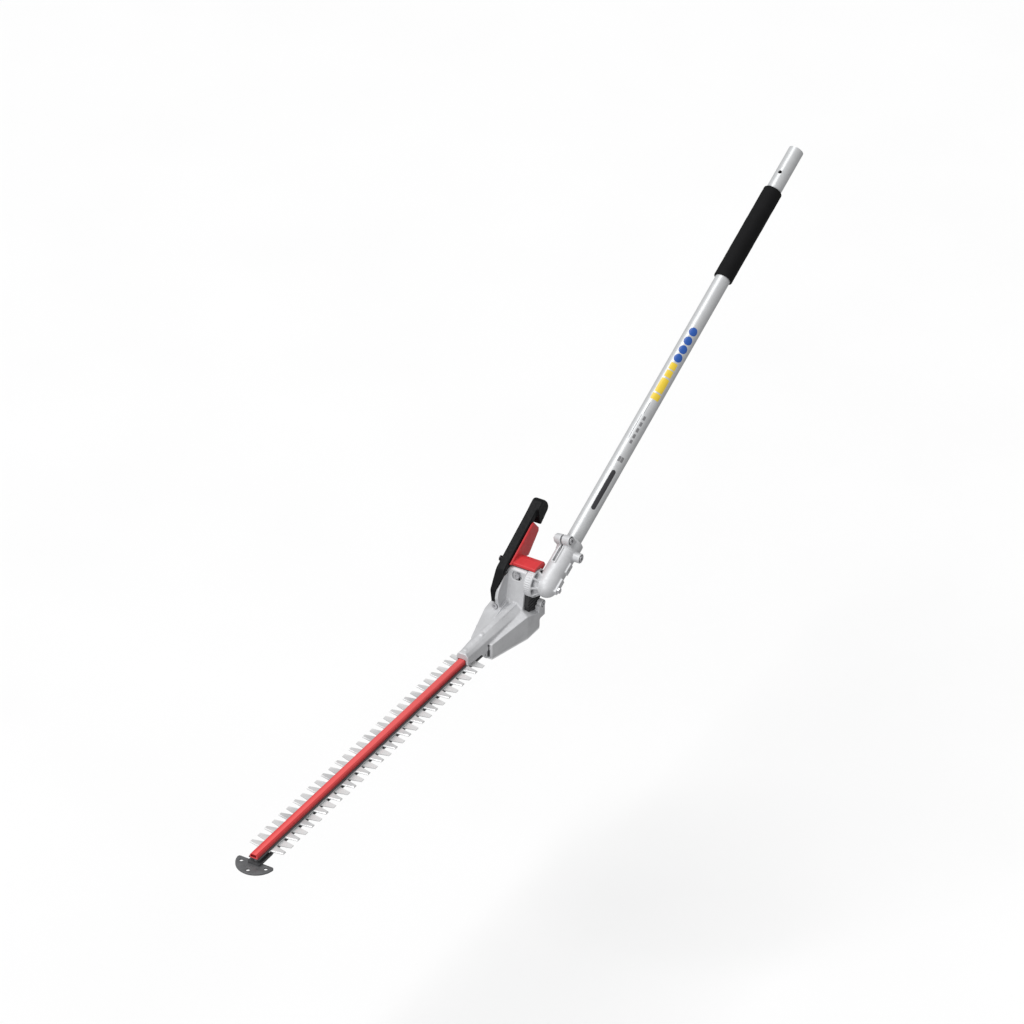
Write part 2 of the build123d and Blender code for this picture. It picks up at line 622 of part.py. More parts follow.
def tip_guard():
    """The half-moon guard at the blade's end, with three holes near its rim."""
    radius, centre = 29.5, 551.0
    moon = rod_z(radius, -8.15, -5.65, centre) & block(centre, centre + 40, -40, 40, -20, 0)
    moon = soften(moon, moon.edges().filter_by(Axis.Z), 3.5)
    tab = block(524, centre + 2, -9, 9, -8.15, -5.65)
    guard = moon + tab
    for turn in (-69, 0, 69):
        guard -= rod_z(2.9, -20, 0, centre + 21.5 * cos(radians(turn)), 21.5 * sin(radians(turn)))
    guard -= rod_z(2.6, -20, 0, END_BOLT_X)
    return guard - rod_z(2.1, -20, 0, GUARD_SCREW_X)


def guard_screw():
    return Pos(GUARD_SCREW_X, 0, 0) * (rod_z(3.8, -10.0, -8.15) + rod_z(2.1, -8.15, -2.8))


def grip_end():
    """The thicker rear end of the grip, wide enough to cover the end of the lever beside it."""
    outline = FilletPolyline((-207, 127), (-204.5, 146.6), (-221, 157), (-237, 137), (-209.6, 115.4), (-207, 127),
                             radius=(1, 4, 10, 10, 3), close=True)
    left, right = HANDLE_Y - GRIP_HALF, HANDLE_Y + KNOB_HALF
    return extrude(Plane.XZ.offset(-left) * make_face(outline), left - right)


def hand_grip():
    """The black grip over the web: a short front leg, a long upper bar and a deeper rounded end."""
    outline = FilletPolyline((-103, 40), (-99, 40), (-95.5, 63), (-112.5, 92), (-190, 137.2), (-221, 156.5),
                             (-236, 137), (-209.9, 115.9), (-205.5, 134.7), (-132, 90), (-117, 85), (-101.5, 62),
                             radius=(0.5, 1.5, 5, 14, 14, 9.5, 9.5, 4.5, 2, 1, 1, 1), close=True)
    y0, y1 = HANDLE_Y - GRIP_HALF, HANDLE_Y + GRIP_HALF
    grip = extrude(Plane.XZ.offset(-y0) * make_face(outline), -(y1 - y0))
    grip += grip_end()
    round_end = Pos(-213, HANDLE_Y + (KNOB_HALF - GRIP_HALF) / 2, 135) * Sphere(KNOB_ROUND)
    grip = grip & (round_end + block(-209, -80, -40, 20, 0, 170))
    web, _ = handle_web()
    beside_rib = section_x(((-4, 20), (-4, 88), (-4.8, 85.5), (-10.5, 62), (-10.5, 20)), -140)
    grip = grip - web - side_plate(TOWER, TOWER_LEFT, TOWER_RIGHT)
    grip = grip - extrude(beside_rib, amount=60, dir=(1, 0, 0))
    return grip - rod_y(2.6, -30, 5, LEVER_PIN[0], LEVER_PIN[1])


def handle_screws():
    front = Pos(-99.5, HANDLE_Y, 36) * Rot(0, 90, 0) * socket_screw(3.0, 4.6, 3.6, 12)
    return front


def lever_wall(outline, inset, inner, outer):
    """A side wall of the lever whose outer face is smaller, so that its rim is chamfered."""
    edge = inner + (outer - inner) * 0.35
    base = side_plate(outline, min(inner, edge), max(inner, edge))
    faces = []
    for points, y in ((outline, edge), (inset, outer)):
        faces.append(Plane.XZ.offset(-y) * make_face(Polyline(*points, close=True)))
    return base + loft(faces, ruled=True)


def lock_lever():
    """The red squeeze lever: a channel round the grip and a hood over the index disc."""
    left, right = HANDLE_Y - LEVER_HALF, HANDLE_Y + LEVER_HALF
    wall = LEVER_HALF - GRIP_HALF - 0.35
    full = ((-125.6, 94.6), (-187, 130.5), (-193, 131.2), (-207, 114.5), (-206.8, 109), (-178, 81.5), (-154, 89),
            (-131, 90.5))
    inset = ((-127.5, 94.4), (-187, 128.6), (-192, 129), (-204, 114), (-203.5, 109.5), (-177, 84.8), (-154, 91.4),
             (-131, 92))
    low_side = ((-129.5, 92.5), (-134, 98), (-190, 127.5), (-197, 126), (-207, 114.5), (-206.8, 109), (-178, 81.5),
                (-154, 89), (-131, 90.5))
    low_inset = ((-131.5, 93), (-135, 96.4), (-189, 125.2), (-195, 124), (-204, 114), (-203.5, 109.5),
                 (-177, 84.8), (-154, 91), (-133, 92))
    lever = lever_wall(full, inset, right - wall, right) + lever_wall(low_side, low_inset, left + wall, left)
    floor = side_plate(((-158, 87.8), (-178, 81.5), (-206.8, 109), (-206.5, 115), (-202, 119), (-176.3, 88.5),
                        (-158, 92.7)), left + 1, right - 1)
    hood = side_plate(((-131.5, 88), (-131.5, 95.6), (-150, 96.8), (-158.5, 94.6), (-162.5, 87.6), (-154.5, 82.9)),
                      right - 3, HOOD_END)
    hood = soften(hood, hood.edges().filter_by(Axis.Y).group_by(Axis.Z)[-1], 2.0)
    hood -= rod_y(22.45, right - 5, 40, PIVOT_X, PIVOT_Z)
    lever = lever + floor + hood
    return lever - rod_y(2.6, -30, right - 1.1, LEVER_PIN[0], LEVER_PIN[1])


def lever_pin():
    """The lever's pivot pin, headed on the left and ending blind in the right wall."""
    left = HANDLE_Y - LEVER_HALF
    pin = rod_y(2.55, left - 0.6, HANDLE_Y + LEVER_HALF - 1.4, LEVER_PIN[0], LEVER_PIN[1])
    return pin + rod_y(4.2, left - 2.4, left - 0.4, LEVER_PIN[0], LEVER_PIN[1])


def pivot_boot():
    """The rubber boot that closes the gap between the index disc's rim and the housing."""
    boot = side_plate(((-153, 12), (-124, 14), (-121, 34), (-124, 52), (-150, 52), (-156, 40)), 24.3, 30.8)
    boot = boot - rod_y(DISC_R + 0.4, 20, 40, PIVOT_X, PIVOT_Z)
    roof = Plane(origin=REAR_ROOF[0], z_dir=(-REAR_ROOF[1], -REAR_ROOF[2], 1)).offset(0.1)
    boot = split(boot, bisect_by=roof, keep=Keep.TOP)
    for step in range(4):
        boot -= block(-160, -110, 30.0, 31.5, 26 + 5 * step, 27.6 + 5 * step)
    return boot


def tower_screw():
    return FRONT_SCREW * Pos(0, 0, -RECESS) * (rod_z(4.3, 0, 4.8) + rod_z(2.5, -2.3, 0)
                                            - Pos(0, 0, 3.2) * extrude(RegularPolygon(2.4, 6), 2))


def lug_screw():
    screw = rod_y(3.8, 36.6, 39.8, LUG_X, LUG_Z) + rod_y(2.6, 32.6, 36.6, LUG_X, LUG_Z)
    return screw - Pos(LUG_X, 38.0, LUG_Z) * Rot(-90, 0, 0) * extrude(RegularPolygon(2.4, 6), 2)


POLE_PARTS = {
    "tube": tube, "foam_grip": foam_grip, "shaft_bushings": shaft_bushings, "drive_shaft": drive_shaft,
    "input_bevel": input_bevel, "elbow_bearings": elbow_bearings, "bearing_snap_ring": bearing_snap_ring,
    "elbow_case": elbow_case, "clamp_bolt": clamp_bolt, "locating_screw": locating_screw,
    "grease_plug": grease_plug, "cross_shaft": cross_shaft, "elbow_driven_bevel": elbow_driven_bevel,
    "cross_shaft_bushings": cross_shaft_bushings, "hub_retaining_ring": hub_retaining_ring,
    "head_drive_bevel": head_drive_bevel,
}
HEAD_PARTS = {
    "head_case": head_case, "bottom_cover": bottom_cover, "cover_screws": cover_screws, "spindle": spindle,
    "spindle_bevel": spindle_bevel, "spindle_pinion": spindle_pinion, "spindle_bearings": spindle_bearings,
    "crank_axle": crank_axle, "crank_gear": crank_gear, "lower_eccentric": lower_eccentric,
    "upper_blade": upper_blade, "lower_blade": lower_blade, "guide_bar": guide_bar, "guide_strip": guide_strip,
    "blade_rail": blade_rail, "blade_bolts": blade_bolts, "rail_nuts": rail_nuts,
    "blade_spacers": blade_spacers, "tip_guard": tip_guard, "guard_screw": guard_screw,
    "hand_grip": hand_grip, "handle_screw": handle_screws, "lock_lever": lock_lever, "lever_pin": lever_pin,
    "tower_screw": tower_screw, "lug_screw": lug_screw, "pivot_boot": pivot_boot,
}

for name, make in POLE_PARTS.items():
    save(name, make(), POLE)
for name, make in HEAD_PARTS.items():
    save(name, make(), HEAD)
save("upper_con_rod", connecting_rod(CRANK_X + ECC, 2.9, 5.9), HEAD)
save("lower_con_rod", connecting_rod(CRANK_X - ECC, -5.9, -2.9), HEAD)
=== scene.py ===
import bpy
import bmesh
import json
from math import radians, sin, cos, pi
from mathutils import Vector, Matrix


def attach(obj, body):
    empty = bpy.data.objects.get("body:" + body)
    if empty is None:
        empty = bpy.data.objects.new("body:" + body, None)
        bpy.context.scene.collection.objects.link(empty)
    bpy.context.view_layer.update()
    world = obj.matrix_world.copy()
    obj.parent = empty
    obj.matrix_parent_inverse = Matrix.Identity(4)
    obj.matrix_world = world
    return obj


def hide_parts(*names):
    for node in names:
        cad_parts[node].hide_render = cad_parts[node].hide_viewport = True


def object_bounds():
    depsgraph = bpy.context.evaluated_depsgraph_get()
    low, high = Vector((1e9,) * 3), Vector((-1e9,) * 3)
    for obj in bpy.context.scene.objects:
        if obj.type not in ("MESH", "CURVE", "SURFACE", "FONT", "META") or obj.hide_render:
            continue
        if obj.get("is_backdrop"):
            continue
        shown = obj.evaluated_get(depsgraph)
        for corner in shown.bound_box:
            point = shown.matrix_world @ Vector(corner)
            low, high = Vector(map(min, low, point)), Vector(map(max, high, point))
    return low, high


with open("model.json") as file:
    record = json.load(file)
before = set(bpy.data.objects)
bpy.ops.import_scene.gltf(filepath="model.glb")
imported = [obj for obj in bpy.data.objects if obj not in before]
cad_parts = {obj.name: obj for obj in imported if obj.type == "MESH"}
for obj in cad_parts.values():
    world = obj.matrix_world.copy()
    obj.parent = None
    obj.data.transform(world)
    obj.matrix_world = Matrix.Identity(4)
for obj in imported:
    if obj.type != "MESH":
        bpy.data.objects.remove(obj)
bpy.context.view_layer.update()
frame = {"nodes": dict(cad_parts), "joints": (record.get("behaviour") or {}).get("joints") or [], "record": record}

MM = 0.001
FLOOR_DROP = 0.5      # the floor lies this far below the part
NODES = frame["nodes"]

# ---- the tube's own frame, in metres ----
# x runs along the tube to its spigot end, y towards the head and z up, with the pivot at the origin.
JOINTS = {joint["name"]: joint for joint in frame["joints"]}
pivot = Vector(JOINTS["drive_spin"]["pos_m"])
along_tube = Vector(JOINTS["drive_spin"]["axis"]).normalized()
across = Vector((0, -1, 0))
above_tube = along_tube.cross(across)
TUBE_FRAME = Matrix((along_tube, across, above_tube)).transposed().to_4x4()
TUBE_FRAME.translation = pivot
TUBE_TILT = radians(27)
TUBE_RADIUS = 0.012

# ---- sizes of the foam grip, along the tube and out from its axis ----
FOAM_START, FOAM_END = 0.573, 0.743
FOAM_BORE, FOAM_SKIN = 0.01201, 0.01495
FOAM_ROLL = 0.0016       # radius of the rolled ends
FOAM_LIP = 0.0006        # how far the bore opens at each end
FOAM_STEPS = 40
FOAM_SAG = 0.00011       # keeps the highest swell inside the skin
FOAM_WAVES = ((0.00006, 23, 0), (0.00005, 61, 1))    # height, turns in radians, offset

# ---- label films ----
FILM_PROUD, FILM_SUNK = 0.00005, 0.00003
FILM_CELLS = 20

# ---- light ----
CAST_COLOUR = (0.62, 0.625, 0.64)
FLOOR_HALF = 40
SKY_STRENGTH = 0.42
LAMPS = (                # name, direction it stands in, spread in degrees, power
    ("overhead", Vector((0.3, -0.35, 1.0)), 40, 2.0),
    ("front", Vector((1.0, 0.05, 0.35)), 30, 1.1),
)


# ---- materials ----

class Finish:
    """A material with its shader, Object coordinates and short calls for the nodes it needs."""

    def __init__(self, name, colour, rough, metal=0.0, turn=(0, 0, 0)):
        self.material = bpy.data.materials.new(name)
        self.material.use_nodes = True
        self.tree = self.material.node_tree
        self.shader = self.tree.nodes["Principled BSDF"]
        self.shader.inputs["Base Color"].default_value = (*colour, 1)
        self.shader.inputs["Roughness"].default_value = rough
        self.shader.inputs["Metallic"].default_value = metal
        self.bump_end = None
        coordinates = self.tree.nodes.new("ShaderNodeTexCoord")
        mapping = self.tree.nodes.new("ShaderNodeMapping")
        mapping.inputs["Rotation"].default_value = turn
        self.tree.links.new(coordinates.outputs["Object"], mapping.inputs["Vector"])
        self.place = mapping.outputs["Vector"]

    def stretched(self, scale):
        """The same coordinates, scaled differently along each axis."""
        mapping = self.tree.nodes.new("ShaderNodeMapping")
        mapping.inputs["Scale"].default_value = scale
        self.tree.links.new(self.place, mapping.inputs["Vector"])
        return mapping.outputs["Vector"]

    def noise(self, scale, detail=3.0, rough=0.55, place=None):
        node = self.tree.nodes.new("ShaderNodeTexNoise")
        node.inputs["Scale"].default_value = scale
        node.inputs["Detail"].default_value = detail
        node.inputs["Roughness"].default_value = rough
        self.tree.links.new(place or self.place, node.inputs["Vector"])
        return node.outputs["Fac"]

    def cells(self, scale, place=None):
        node = self.tree.nodes.new("ShaderNodeTexVoronoi")
        node.inputs["Scale"].default_value = scale
        self.tree.links.new(place or self.place, node.inputs["Vector"])
        return node.outputs["Distance"]

    def ramp(self, factor, low, high, first, second):
        node = self.tree.nodes.new("ShaderNodeMapRange")
        node.inputs["From Min"].default_value = low
        node.inputs["From Max"].default_value = high
        node.inputs["To Min"].default_value = first
        node.inputs["To Max"].default_value = second
        self.tree.links.new(factor, node.inputs["Value"])
        return node.outputs["Result"]

    def blend(self, factor, first, second):
        """Mixes two colours; either may be a colour or a socket."""
        node = self.tree.nodes.new("ShaderNodeMix")
        node.data_type = "RGBA"
        if isinstance(factor, (int, float)):
            node.inputs["Factor"].default_value = factor
        else:
            self.tree.links.new(factor, node.inputs["Factor"])
        for socket, value in ((node.inputs["A"], first), (node.inputs["B"], second)):
            if isinstance(value, tuple):
                socket.default_value = (*value, 1)
            else:
                self.tree.links.new(value, socket)
        return node.outputs["Result"]

    def colour(self, socket):
        self.tree.links.new(socket, self.shader.inputs["Base Color"])

    def roughness(self, socket):
        self.tree.links.new(socket, self.shader.inputs["Roughness"])

    def bump(self, height, strength, depth):
        node = self.tree.nodes.new("ShaderNodeBump")
        node.inputs["Strength"].default_value = strength
        node.inputs["Distance"].default_value = depth
        self.tree.links.new(height, node.inputs["Height"])
        if self.bump_end is not None:
            self.tree.links.new(self.bump_end, node.inputs["Normal"])
        self.bump_end = node.outputs["Normal"]
        self.tree.links.new(self.bump_end, self.shader.inputs["Normal"])

    def crevices(self, reach, low, high):
        """How open a place is, from 0 deep in a corner to 1 on an open face."""
        node = self.tree.nodes.new("ShaderNodeAmbientOcclusion")
        node.samples = 8
        node.inputs["Distance"].default_value = reach
        return self.ramp(node.outputs["AO"], low, high, 0.0, 1.0)

    def edges(self, low, high):
        """How much a place sticks out, from 0 on flats to 1 on worn edges."""
        node = self.tree.nodes.new("ShaderNodeNewGeometry")
        return self.ramp(node.outputs["Pointiness"], low, high, 0.0, 1.0)


def cast_aluminium(name, colour, turn=(0, 0, 0)):
    """Tumbled die-cast aluminium: fine speckle, faint flow clouds, brighter worn edges and painted shade darkening
    its corners and crevices.
    """
    finish = Finish(name, colour, 0.5, 0.2, turn)
    pale = tuple(min(1, c * 1.14) for c in colour)
    deep = tuple(c * 0.84 for c in colour)
    clouds = finish.ramp(finish.noise(38, 4), 0.35, 0.68, 0.0, 1.0)
    speckle = finish.ramp(finish.noise(900, 2), 0.3, 0.7, 0.0, 1.0)
    base = finish.blend(clouds, deep, colour)
    base = finish.blend(finish.ramp(speckle, 0.5, 1.0, 0.0, 0.35), base, pale)
    base = finish.blend(finish.edges(0.52, 0.6), base, (0.82, 0.83, 0.84))
    # painted shade: the colour goes towards near black where ambient occlusion finds corners and crevices
    crevice_shade = tuple(c * 0.12 for c in colour)
    finish.colour(finish.blend(finish.crevices(0.006, 0.05, 0.45), crevice_shade, base))
    finish.roughness(finish.ramp(finish.noise(240, 3), 0.3, 0.7, 0.42, 0.6))
    finish.bump(finish.noise(1500, 2), 0.22, 0.0003)
    finish.bump(finish.noise(160, 2), 0.12, 0.0006)
    return finish.material


def drawn_tube():
    """Satin anodised tube with fine draw lines along its length."""
    finish = Finish("drawn_tube", (0.62, 0.63, 0.65), 0.4, 0.35, (0, TUBE_TILT, 0))
    lines = finish.noise(1.0, 3, place=finish.stretched((6, 1400, 1400)))
    patches = finish.noise(1.0, 3, place=finish.stretched((14, 90, 90)))
    base = finish.blend(finish.ramp(lines, 0.3, 0.7, 0.0, 1.0), (0.5, 0.51, 0.52), (0.66, 0.67, 0.68))
    finish.colour(finish.blend(finish.ramp(patches, 0.45, 0.75, 0.0, 0.25), base, (0.74, 0.75, 0.76)))
    finish.roughness(finish.ramp(lines, 0.3, 0.7, 0.34, 0.46))
    finish.bump(lines, 0.1, 0.0001)
    return finish.material


def foam_rubber():
    """Closed-cell foam: matte, almost black, with a fine pitted skin."""
    finish = Finish("foam_rubber", (0.005, 0.005, 0.006), 0.82, 0.0)
    cells = finish.cells(1150)
    finish.colour(finish.blend(finish.noise(60, 4), (0.003, 0.003, 0.003), (0.008, 0.008, 0.009)))
    finish.roughness(finish.ramp(cells, 0.0, 0.6, 0.92, 0.72))
    finish.bump(cells, 0.5, 0.0005)
    finish.bump(finish.noise(420, 3), 0.3, 0.0006)
    finish.shader.inputs["Specular IOR Level"].default_value = 0.16
    return finish.material


def grained_plastic(name, colour, grain, rough, shine=0.5):
    """Moulded plastic with a spark-eroded grain and slightly polished edges."""
    finish = Finish(name, colour, rough, 0.0)
    pale = tuple(min(1, c * 1.3 + 0.003) for c in colour)
    worn = finish.blend(finish.edges(0.53, 0.62), colour, pale)
    finish.colour(finish.blend(finish.ramp(finish.noise(75, 4), 0.4, 0.75, 0.0, 0.4), worn, pale))
    finish.roughness(finish.ramp(finish.noise(300, 3), 0.3, 0.7, rough - 0.08, rough + 0.1))
    finish.bump(finish.cells(grain), 0.3, 0.00025)
    finish.shader.inputs["Specular IOR Level"].default_value = shine
    return finish.material


def painted_rail():
    """Red coat on the blade rail, with faint mottling and thinner paint on its edges."""
    finish = Finish("painted_rail", (0.62, 0.035, 0.04), 0.45, 0.0)
    mottling = finish.ramp(finish.noise(55, 4), 0.35, 0.7, 0.0, 1.0)
    base = finish.blend(mottling, (0.52, 0.02, 0.025), (0.66, 0.035, 0.04))
    finish.colour(finish.blend(finish.edges(0.54, 0.64), base, (0.8, 0.12, 0.12)))
    finish.roughness(finish.ramp(finish.noise(260, 3), 0.3, 0.7, 0.3, 0.48))
    finish.bump(finish.noise(700, 3), 0.18, 0.0002)
    finish.bump(finish.noise(1.0, 1, place=finish.stretched((8, 700, 700))), 0.35, 0.0005)
    finish.shader.inputs["Specular IOR Level"].default_value = 0.2
    return finish.material


def ground_steel():
    """Cutter steel: grinding lines across the teeth, a little dark oil and dulled edges."""
    finish = Finish("ground_steel", (0.66, 0.67, 0.68), 0.4, 0.45)
    lines = finish.noise(1.0, 3, place=finish.stretched((2600, 60, 60)))
    oil = finish.ramp(finish.noise(70, 5), 0.42, 0.7, 0.0, 1.0)
    base = finish.blend(finish.ramp(lines, 0.3, 0.7, 0.0, 1.0), (0.52, 0.53, 0.54), (0.72, 0.73, 0.74))
    base = finish.blend(finish.ramp(oil, 0, 1, 0.0, 0.35), base, (0.34, 0.34, 0.34))
    finish.colour(finish.blend(finish.edges(0.53, 0.6), base, (0.9, 0.9, 0.9)))
    finish.roughness(finish.ramp(lines, 0.3, 0.7, 0.26, 0.42))
    finish.bump(lines, 0.12, 0.0001)
    return finish.material


def machined(name, colour, rough, metal=0.9):
    """Turned or rolled metal with a fine even grain and small stains."""
    finish = Finish(name, colour, rough, metal)
    pale = tuple(min(1, c * 1.2) for c in colour)
    deep = tuple(c * 0.75 for c in colour)
    base = finish.blend(finish.ramp(finish.noise(480, 4), 0.3, 0.7, 0.0, 1.0), deep, colour)
    finish.colour(finish.blend(finish.ramp(finish.noise(90, 4), 0.45, 0.75, 0.0, 0.6), base, pale))
    finish.roughness(finish.ramp(finish.noise(320, 3), 0.3, 0.7, rough - 0.07, rough + 0.1))
    finish.bump(finish.noise(1800, 2), 0.12, 0.0001)
    return finish.material


def printed_film(name, colour):
    """A thin printed label film: plain colour with a faint edge-to-edge fade and satin skin."""
    finish = Finish(name, colour, 0.34, 0.0)
    deep = tuple(c * 0.8 for c in colour)
    finish.colour(finish.blend(finish.noise(180, 3), deep, colour))
    finish.roughness(finish.ramp(finish.noise(400, 2), 0.3, 0.7, 0.28, 0.44))
    finish.bump(finish.noise(900, 2), 0.08, 0.0001)
    return finish.material


def studio_floor():
    finish = Finish("studio_floor", (0.9, 0.9, 0.9), 0.7, 0.0)
    finish.colour(finish.blend(finish.noise(3, 2), (0.89, 0.89, 0.89), (0.92, 0.92, 0.92)))
    return finish.material


CAST = cast_aluminium("cast_aluminium", CAST_COLOUR)
CAST_TILTED = cast_aluminium("cast_aluminium_elbow", CAST_COLOUR, (0, TUBE_TILT, 0))
TUBE = drawn_tube()
FOAM = foam_rubber()
GRIP = grained_plastic("grip_plastic", (0.003, 0.0033, 0.004), 1700, 0.5, 0.14)
LEVER = grained_plastic("lever_plastic", (0.62, 0.035, 0.04), 2200, 0.4)
RAIL = painted_rail()
BLADE = ground_steel()
# partly painted shade: the bar's own dark steel is darkened further to near black to stand for the shade under the
# rail
SHADE_DARKENED_BAR = machined("rolled_bar_with_painted_shade", (0.09, 0.09, 0.095), 0.45, 0.4)
GUARD = machined("guard_coat", (0.17, 0.172, 0.178), 0.42, 0.5)
# painted shade: a near-black strip under the rail whose darkness stands for the shade between rail and teeth
SHADE_STRIP = grained_plastic("strip_plastic", (0.05, 0.05, 0.055), 1500, 0.6)
GEAR = machined("gear_steel", (0.46, 0.46, 0.47), 0.35)
RACE = machined("bearing_steel", (0.66, 0.66, 0.68), 0.2)
BRONZE = machined("sintered_bronze", (0.55, 0.36, 0.16), 0.5)
SCREW = machined("zinc_screw", (0.62, 0.62, 0.64), 0.3, 0.6)
DARK_SCREW = machined("black_screw", (0.045, 0.045, 0.05), 0.4, 0.6)
NYLON = grained_plastic("nylon", (0.5, 0.48, 0.42), 1200, 0.5)
BLUE_FILM = printed_film("blue_film", (0.02, 0.1, 0.42))
YELLOW_FILM = printed_film("yellow_film", (0.86, 0.62, 0.05))
GREY_FILM = printed_film("grey_film", (0.22, 0.22, 0.23))
DARK_FILM = printed_film("dark_film", (0.035, 0.035, 0.04))
# painted shadow: a near-black rubber boot under the index disc, put where the head tower lies in shade
SHADOW_BOOT = grained_plastic("boot_rubber", (0.012, 0.012, 0.013), 1400, 0.62)

SLOT_FINISH = {
    "cast_metal": CAST, "tube_metal": TUBE, "foam": FOAM, "grip_plastic": GRIP, "lever_plastic": LEVER,
    "rail_paint": RAIL, "blade_steel": BLADE, "bar_steel": SHADE_DARKENED_BAR, "guard_paint": GUARD, "strip_plastic": SHADE_STRIP,
    "gear_steel": GEAR, "bearing_steel": RACE, "bronze": BRONZE, "screw_steel": SCREW,
    "dark_screw": DARK_SCREW, "bushing_plastic": NYLON, "boot_rubber": SHADOW_BOOT,
}


def dress_nodes():
    """Gives every CAD node the finish of its material slot."""
    for entry in frame["record"]["subparts"]:
        node = NODES[entry["node"]]
        finish = SLOT_FINISH[entry["material_slot"]]
        if entry["node"] == "elbow_case":
            finish = CAST_TILTED
        node.data.materials.clear()
        node.data.materials.append(finish)


# ---- making pieces ----

CREASE = radians(32)          # faces that meet at more than this are shaded with a hard edge
SHARP_CORNER = radians(28)    # edges that turn more than this are eased

def copy_of(node):
    """A merged copy of a CAD node's mesh, as a bmesh."""
    shape = bmesh.new()
    shape.from_mesh(NODES[node].data)
    bmesh.ops.remove_doubles(shape, verts=shape.verts, dist=2e-6)
    return shape


def piece(name, shape, finish, body, stands_for=()):
    """Turns a bmesh into a finished piece that rides on its body."""
    mesh = bpy.data.meshes.new(name)
    shape.to_mesh(mesh)
    shape.free()
    mesh.materials.clear()
    mesh.materials.append(finish)
    thing = bpy.data.objects.new(name, mesh)
    bpy.context.scene.collection.objects.link(thing)
    for face in mesh.polygons:
        face.material_index = 0
        face.use_smooth = True
    mesh.set_sharp_from_angle(angle=CREASE)
    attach(thing, body)
    if stands_for:
        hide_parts(*stands_for)
    return thing


def applied(shape, modifiers):
    """Runs modifiers, given as (kind, settings), on a bmesh and returns the result as a bmesh."""
    mesh = bpy.data.meshes.new("work")
    shape.to_mesh(mesh)
    shape.free()
    thing = bpy.data.objects.new("work", mesh)
    bpy.context.scene.collection.objects.link(thing)
    for kind, settings in modifiers:
        modifier = thing.modifiers.new(kind, kind)
        for key, value in settings.items():
            setattr(modifier, key, value)
    result = bmesh.new()
    result.from_object(thing, bpy.context.evaluated_depsgraph_get())
    bpy.data.objects.remove(thing)
    bpy.data.meshes.remove(mesh)
    return result


def soft_casting(name, node, finish, body, voxel, rounds, turn=None):
    """A casting with the soft edges that a mould leaves, made from the CAD node's own shape."""
    shape = copy_of(node)
    turn = turn or Matrix.Identity(4)
    bmesh.ops.transform(shape, matrix=turn.inverted(), verts=shape.verts)
    shape = applied(shape, [("REMESH", {"mode": "VOXEL", "voxel_size": voxel, "adaptivity": 0.0})])
    for _ in range(rounds):
        bmesh.ops.smooth_vert(shape, verts=shape.verts, factor=0.5, use_axis_x=True, use_axis_y=True,
                              use_axis_z=True)
    bmesh.ops.transform(shape, matrix=turn, verts=shape.verts)
    return piece(name, shape, finish, body, (node,))


def eased(name, node, finish, body, width, segments=2):
    """A machined or moulded piece with its sharp edges eased by a small bevel."""
    shape = copy_of(node)
    bmesh.ops.dissolve_limit(shape, angle_limit=radians(1), verts=shape.verts, edges=shape.edges)
    sharp = [edge for edge in shape.edges
             if len(edge.link_faces) == 2 and edge.calc_face_angle() > SHARP_CORNER]
    bmesh.ops.bevel(shape, geom=sharp, offset=width, offset_type="OFFSET", segments=segments, profile=0.5,
                    affect="EDGES", material=-1, clamp_overlap=True)
    bmesh.ops.triangulate(shape, faces=[face for face in shape.faces if len(face.verts) > 4])
    return piece(name, shape, finish, body, (node,))


def lathe(profile, steps=96):
    """A closed ring of revolution about X from (x, radius) points, in the tube frame."""
    shape = bmesh.new()
    corners = [shape.verts.new((x, 0, radius)) for x, radius in profile]
    edges = [shape.edges.new((a, b)) for a, b in zip(corners, corners[1:] + corners[:1])]
    bmesh.ops.spin(shape, geom=corners + edges, cent=(0, 0, 0), axis=(1, 0, 0), angle=2 * pi, steps=steps,
                   use_merge=True, use_duplicate=False)
    bmesh.ops.remove_doubles(shape, verts=shape.verts, dist=1e-6)
    bmesh.ops.recalc_face_normals(shape, faces=shape.faces)
    return shape


def foam_sleeve():
    """The foam grip: a long sleeve with rolled ends and a slight uneven swell."""
    profile = [(FOAM_START + FOAM_ROLL, FOAM_BORE), (FOAM_START, FOAM_BORE + FOAM_LIP),
               (FOAM_START, FOAM_SKIN - FOAM_ROLL)]
    for turn in (30, 60, 90):
        angle = radians(turn)
        profile.append((FOAM_START + FOAM_ROLL - FOAM_ROLL * cos(angle),
                        FOAM_SKIN - FOAM_ROLL + FOAM_ROLL * sin(angle)))
    for step in range(1, FOAM_STEPS):
        share = step / FOAM_STEPS
        swell = sum(height * sin(share * turns + offset) for height, turns, offset in FOAM_WAVES)
        along = FOAM_START + FOAM_ROLL + (FOAM_END - FOAM_START - 2 * FOAM_ROLL) * share
        profile.append((along, FOAM_SKIN - FOAM_SAG + swell))
    for turn in (90, 60, 30, 0):
        angle = radians(turn)
        profile.append((FOAM_END - FOAM_ROLL + FOAM_ROLL * cos(angle),
                        FOAM_SKIN - FOAM_ROLL + FOAM_ROLL * sin(angle)))
    profile += [(FOAM_END, FOAM_BORE + FOAM_LIP), (FOAM_END - FOAM_ROLL, FOAM_BORE)]
    shape = lathe(profile)
    bmesh.ops.transform(shape, matrix=TUBE_FRAME, verts=shape.verts)
    return piece("foam_sleeve", shape, FOAM, "pole", ("foam_grip",))


